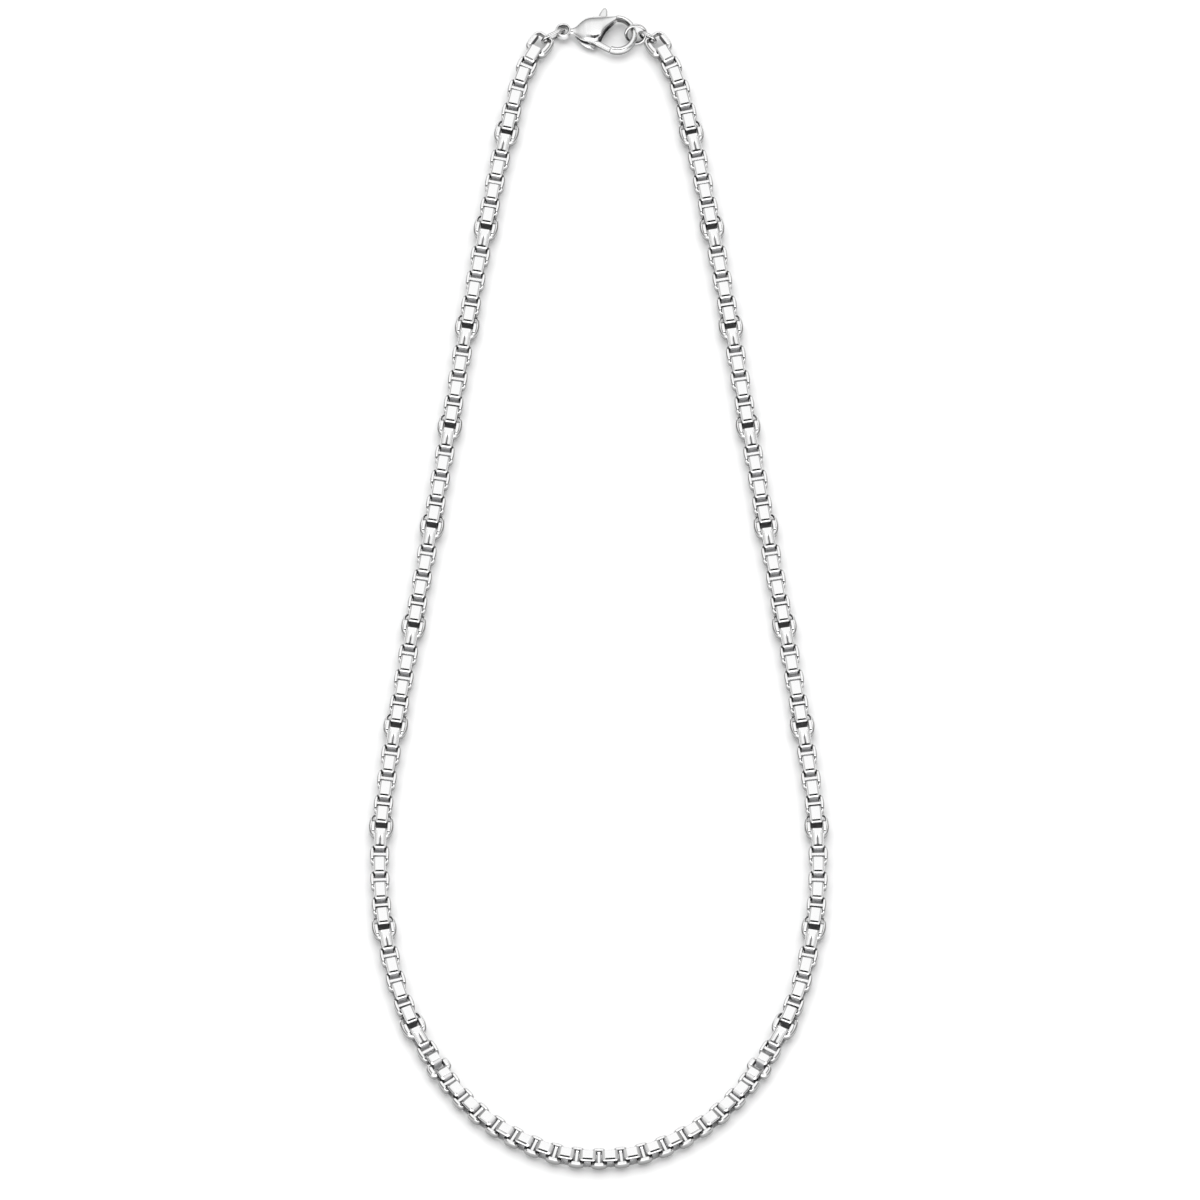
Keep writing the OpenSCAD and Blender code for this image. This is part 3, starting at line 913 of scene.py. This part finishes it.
def silver(name, color, roughness):
    """Polished silver: soft hairlines and faint smears, brushed grey in the walls, and painted shade: darker
    where shaded, near black in the hollows.
    """
    material = bpy.data.materials.new(name)
    material.use_nodes = True
    nodes, links = material.node_tree.nodes, material.node_tree.links
    nodes.clear()
    out = nodes.new("ShaderNodeOutputMaterial")
    shader = nodes.new("ShaderNodeBsdfPrincipled")
    links.new(shader.outputs["BSDF"], out.inputs["Surface"])
    where = nodes.new("ShaderNodeTexCoord")

    def noise(scale, detail, stretch=(1.0, 1.0, 1.0)):
        node = nodes.new("ShaderNodeTexNoise")
        node.inputs["Scale"].default_value = scale
        node.inputs["Detail"].default_value = detail
        mapping = nodes.new("ShaderNodeMapping")
        mapping.inputs["Scale"].default_value = stretch
        links.new(where.outputs["Object"], mapping.inputs["Vector"])
        links.new(mapping.outputs["Vector"], node.inputs["Vector"])
        return node.outputs["Fac"]

    def spread(value, low, high, start=0.3, stop=0.7):
        node = nodes.new("ShaderNodeMapRange")
        node.inputs["From Min"].default_value = start
        node.inputs["From Max"].default_value = stop
        node.inputs["To Min"].default_value = low
        node.inputs["To Max"].default_value = high
        links.new(value, node.inputs["Value"])
        return node.outputs["Result"]

    def mixed(factor, a, b, kind="FLOAT"):
        node = nodes.new("ShaderNodeMix")
        node.data_type = kind
        links.new(factor, node.inputs["Factor"])
        for socket, value in (("A", a), ("B", b)):
            if isinstance(value, (float, tuple)):
                node.inputs[socket].default_value = value
            else:
                links.new(value, node.inputs[socket])
        return node.outputs["Result"]

    shade_and_finish = nodes.new("ShaderNodeAttribute")
    shade_and_finish.attribute_name = "shade_and_finish"
    tone = shade_and_finish.outputs["Fac"]
    shaded = spread(tone, 1.0, 0.0, SHADED, POLISHED)
    brushed = spread(tone, 0.0, 1.0, POLISHED, BRUSHED)
    dark = spread(tone, 0.0, 1.0, BRUSHED, DARK)

    smear = noise(SMEAR_SCALE, 3)
    grain = noise(GRAIN_SCALE, 3)
    rough = spread(smear, roughness * (1 - WEAR * 0.5), roughness * (1 + WEAR))
    rough = mixed(brushed, rough, BRUSHED_ROUGHNESS)
    links.new(rough, shader.inputs["Roughness"])

    grey = nodes.new("ShaderNodeValToRGB")
    marks = grey.color_ramp.elements
    marks[0].position, marks[0].color = 0.35, BRUSHED_DARK
    marks[1].position, marks[1].color = 0.65, BRUSHED_LIGHT
    links.new(grain, grey.inputs["Fac"])
    # Painted shade: the polished colour darkened where shaded, and near black where dark
    shade = tuple(SHADED_SHARE * value for value in color)
    tint = mixed(shaded, (*color, 1), (*shade, 1), "RGBA")
    tint = mixed(brushed, tint, grey.outputs["Color"], "RGBA")
    tint = mixed(dark, tint, HOLLOW, "RGBA")
    links.new(tint, shader.inputs["Base Color"])
    links.new(mixed(brushed, 1.0, 0.0), shader.inputs["Metallic"])

    hairline = noise(HAIRLINE_SCALE, 2, (1.0, 0.25, 1.0))
    bump = nodes.new("ShaderNodeBump")
    bump.inputs["Strength"].default_value = 0.05
    bump.inputs["Distance"].default_value = HAIRLINE_DEPTH
    links.new(hairline, bump.inputs["Height"])
    links.new(bump.outputs["Normal"], shader.inputs["Normal"])
    return material


def table_material():
    """Matt white paper."""
    material = bpy.data.materials.new("table")
    material.use_nodes = True
    shader = material.node_tree.nodes["Principled BSDF"]
    shader.inputs["Base Color"].default_value = (0.93, 0.93, 0.93, 1)
    shader.inputs["Roughness"].default_value = 0.9
    shader.inputs["Specular IOR Level"].default_value = 0.1
    return material


CHAIN_SILVER = silver("chain_silver", (0.82, 0.82, 0.82), 0.06)
CLASP_SILVER = silver("clasp_silver", (0.8, 0.8, 0.8), 0.17)
LEVER_SILVER = silver("lever_silver", (0.78, 0.78, 0.78), 0.12)
RING_SILVER = silver("ring_silver", (0.68, 0.68, 0.68), 0.1)


# The pieces of the necklace

for side, mirrored in (("left", True), ("right", False)):
    faces, frames, large = half_chain(mirrored)
    node = "chain_" + side
    make_piece("face_links_" + side, faces, CHAIN_SILVER, "chain", "necklace", node)
    make_piece("frame_links_" + side, frames, CHAIN_SILVER, "chain", "necklace", node)
    make_piece("large_links_" + side, large, CHAIN_SILVER, "chain", "necklace", node)

eye = torus((EYE_D + EYE_HOLE_D) / 4, (EYE_D - EYE_HOLE_D) / 4, EYE_T / 2)
make_piece("clasp_body_shell", at_clasp([body_half(1), body_half(-1)]), CLASP_SILVER, "clasp", "necklace",
           "clasp_body")
make_piece("clasp_hook", at_clasp([hook()]), CLASP_SILVER, "clasp", "necklace", "clasp_body")
make_piece("clasp_eye", at_clasp([eye]), CLASP_SILVER, "clasp", "necklace", "clasp_body")
make_piece("lever_gate", at_clasp([gate(), boss()]), LEVER_SILVER, "lever", "lever", "clasp_lever")
make_piece("lever_trigger", at_clasp([trigger()]), LEVER_SILVER, "lever", "lever", "clasp_lever")

ring_reach = LARGE_SHIFT + LARGE_L / 2 - STRIP_T - RING_HOLE_DEPTH
end_way = np.array([math.cos(line.end_heading), math.sin(line.end_heading)])
left_start = (line.end + ring_reach * end_way) * (-1, 1)
left_way = CLASP_AT - left_start
right_start = line.end + ring_reach * end_way
END_RING_AT = np.array([END_RING_X, line.end[1] + END_RING_PAST_END])
right_way = END_RING_AT + (END_RING_HOLD, 0) - right_start
for name, start, way, length in (("left_jump_ring", left_start, left_way, OVAL_RING_L),
                                 ("right_jump_ring", right_start, right_way, SHORT_RING_L)):
    heading = math.atan2(way[1], way[0])
    middle = start + (length - WIRE_D) / 2 * np.array([math.cos(heading), math.sin(heading)])
    make_piece(name + "_wire", turned([oval_ring(length)], middle, heading, False), RING_SILVER, "ring",
               "necklace", name)

tilt = math.radians(END_RING_TILT)
lean = np.array([[1, 0, 0], [0, math.cos(tilt), -math.sin(tilt)], [0, math.sin(tilt), math.cos(tilt)]])
ring_z = END_RING_R * math.sin(tilt) + WIRE_D / 2 + END_RING_LIFT
end_ring = torus(END_RING_R, WIRE_D / 2, WIRE_D / 2).moved(
    lean, np.array([END_RING_AT[0], END_RING_AT[1] - CENTRE_Y, ring_z]))
make_piece("end_ring_wire", [end_ring], RING_SILVER, "ring", "necklace", "end_ring")


# Table, lights and camera

def table():
    """The white surface that the necklace lies on."""
    size = 6.0
    mesh = bpy.data.meshes.new("table")
    mesh.from_pydata([(-size, -size, 0), (size, -size, 0), (size, size, 0), (-size, size, 0)], [],
                     [(0, 1, 2, 3)])
    mesh.materials.append(table_material())
    floor = bpy.data.objects.new("table", mesh)
    bpy.context.scene.collection.objects.link(floor)


CAMERA_TILT = math.radians(25)
TO_CAMERA = (0, -math.sin(CAMERA_TILT), math.cos(CAMERA_TILT))

# Brightness of the studio by height above the table's plane, as the sine of the elevation
STUDIO_TENT = ((0.0, 0.14), (0.12, 0.2), (0.3, 0.42), (0.55, 0.75), (0.8, 1.1), (0.95, 1.2), (0.99, 3.2))
OPENING_INNER = math.radians(20)
OPENING_OUTER = math.radians(31)
OPENING_LIGHT = 0.03
SOUTH_PANEL = 2.0


def studio():
    """A white tent that darkens towards the table, a bright front panel and a dark camera opening."""
    world = bpy.data.worlds.new("studio")
    world.use_nodes = True
    bpy.context.scene.world = world
    nodes, links = world.node_tree.nodes, world.node_tree.links
    nodes.clear()
    out = nodes.new("ShaderNodeOutputWorld")
    light = nodes.new("ShaderNodeBackground")
    links.new(light.outputs["Background"], out.inputs["Surface"])
    where = nodes.new("ShaderNodeTexCoord")
    way = where.outputs["Generated"]

    split = nodes.new("ShaderNodeSeparateXYZ")
    links.new(way, split.inputs["Vector"])
    tent = nodes.new("ShaderNodeValToRGB")
    tent.color_ramp.interpolation = "EASE"
    marks = tent.color_ramp.elements
    while len(marks) < len(STUDIO_TENT):
        marks.new(0.5)
    for mark, (height, value) in zip(marks, STUDIO_TENT):
        mark.position = height
        mark.color = (value, value, value, 1)
    links.new(split.outputs["Z"], tent.inputs["Fac"])

    def smooth_step(value, start, stop, low, high):
        node = nodes.new("ShaderNodeMapRange")
        node.interpolation_type = "SMOOTHSTEP"
        node.inputs["From Min"].default_value = start
        node.inputs["From Max"].default_value = stop
        node.inputs["To Min"].default_value = low
        node.inputs["To Max"].default_value = high
        links.new(value, node.inputs["Value"])
        return node.outputs["Result"]

    def mix(kind, a, b, factor=None):
        node = nodes.new("ShaderNodeMix")
        node.data_type = "RGBA"
        node.blend_type = kind
        node.inputs["Factor"].default_value = 1.0
        if factor:
            links.new(factor, node.inputs["Factor"])
        links.new(a, node.inputs["A"])
        if isinstance(b, tuple):
            node.inputs["B"].default_value = b
        else:
            links.new(b, node.inputs["B"])
        return node.outputs["Result"]

    front = smooth_step(split.outputs["Y"], -0.8, -0.5, 1.0, 0.0)
    panel = mix("MIX", tent.outputs["Color"], (SOUTH_PANEL, SOUTH_PANEL, SOUTH_PANEL, 1), front)

    toward = nodes.new("ShaderNodeVectorMath")
    toward.operation = "DOT_PRODUCT"
    links.new(way, toward.inputs[0])
    toward.inputs[1].default_value = TO_CAMERA
    opening = smooth_step(toward.outputs["Value"], math.cos(OPENING_OUTER), math.cos(OPENING_INNER), 1.0,
                          OPENING_LIGHT)
    links.new(mix("MULTIPLY", panel, opening), light.inputs["Color"])
    light.inputs["Strength"].default_value = 1.0


def sun():
    """A wide soft light from behind, which casts the shadows towards the camera."""
    data = bpy.data.lights.new("back_light", "SUN")
    data.energy = 1.5
    data.angle = math.radians(70)
    lamp = bpy.data.objects.new("back_light", data)
    lamp.rotation_euler = (math.radians(-30), 0, 0)
    lamp.visible_glossy = False
    bpy.context.scene.collection.objects.link(lamp)


def camera():
    """A long lens at the photograph's height above the table."""
    data = bpy.data.cameras.new("camera")
    data.sensor_width = 9
    # Far enough for an almost parallel view, and the width of the picture there
    distance = 9.9
    frame_w = 0.2133
    data.lens = data.sensor_width * distance / frame_w
    data.clip_start = 0.01
    data.clip_end = 40
    target = np.array([0.188, -2.84, MID_Z]) * MM
    view = bpy.data.objects.new("camera", data)
    view.location = target + distance * np.array(TO_CAMERA)
    view.rotation_euler = (CAMERA_TILT, 0, 0)
    bpy.context.scene.collection.objects.link(view)
    bpy.context.scene.camera = view


table()
studio()
sun()
camera()
bpy.context.scene.view_settings.view_transform = "Standard"
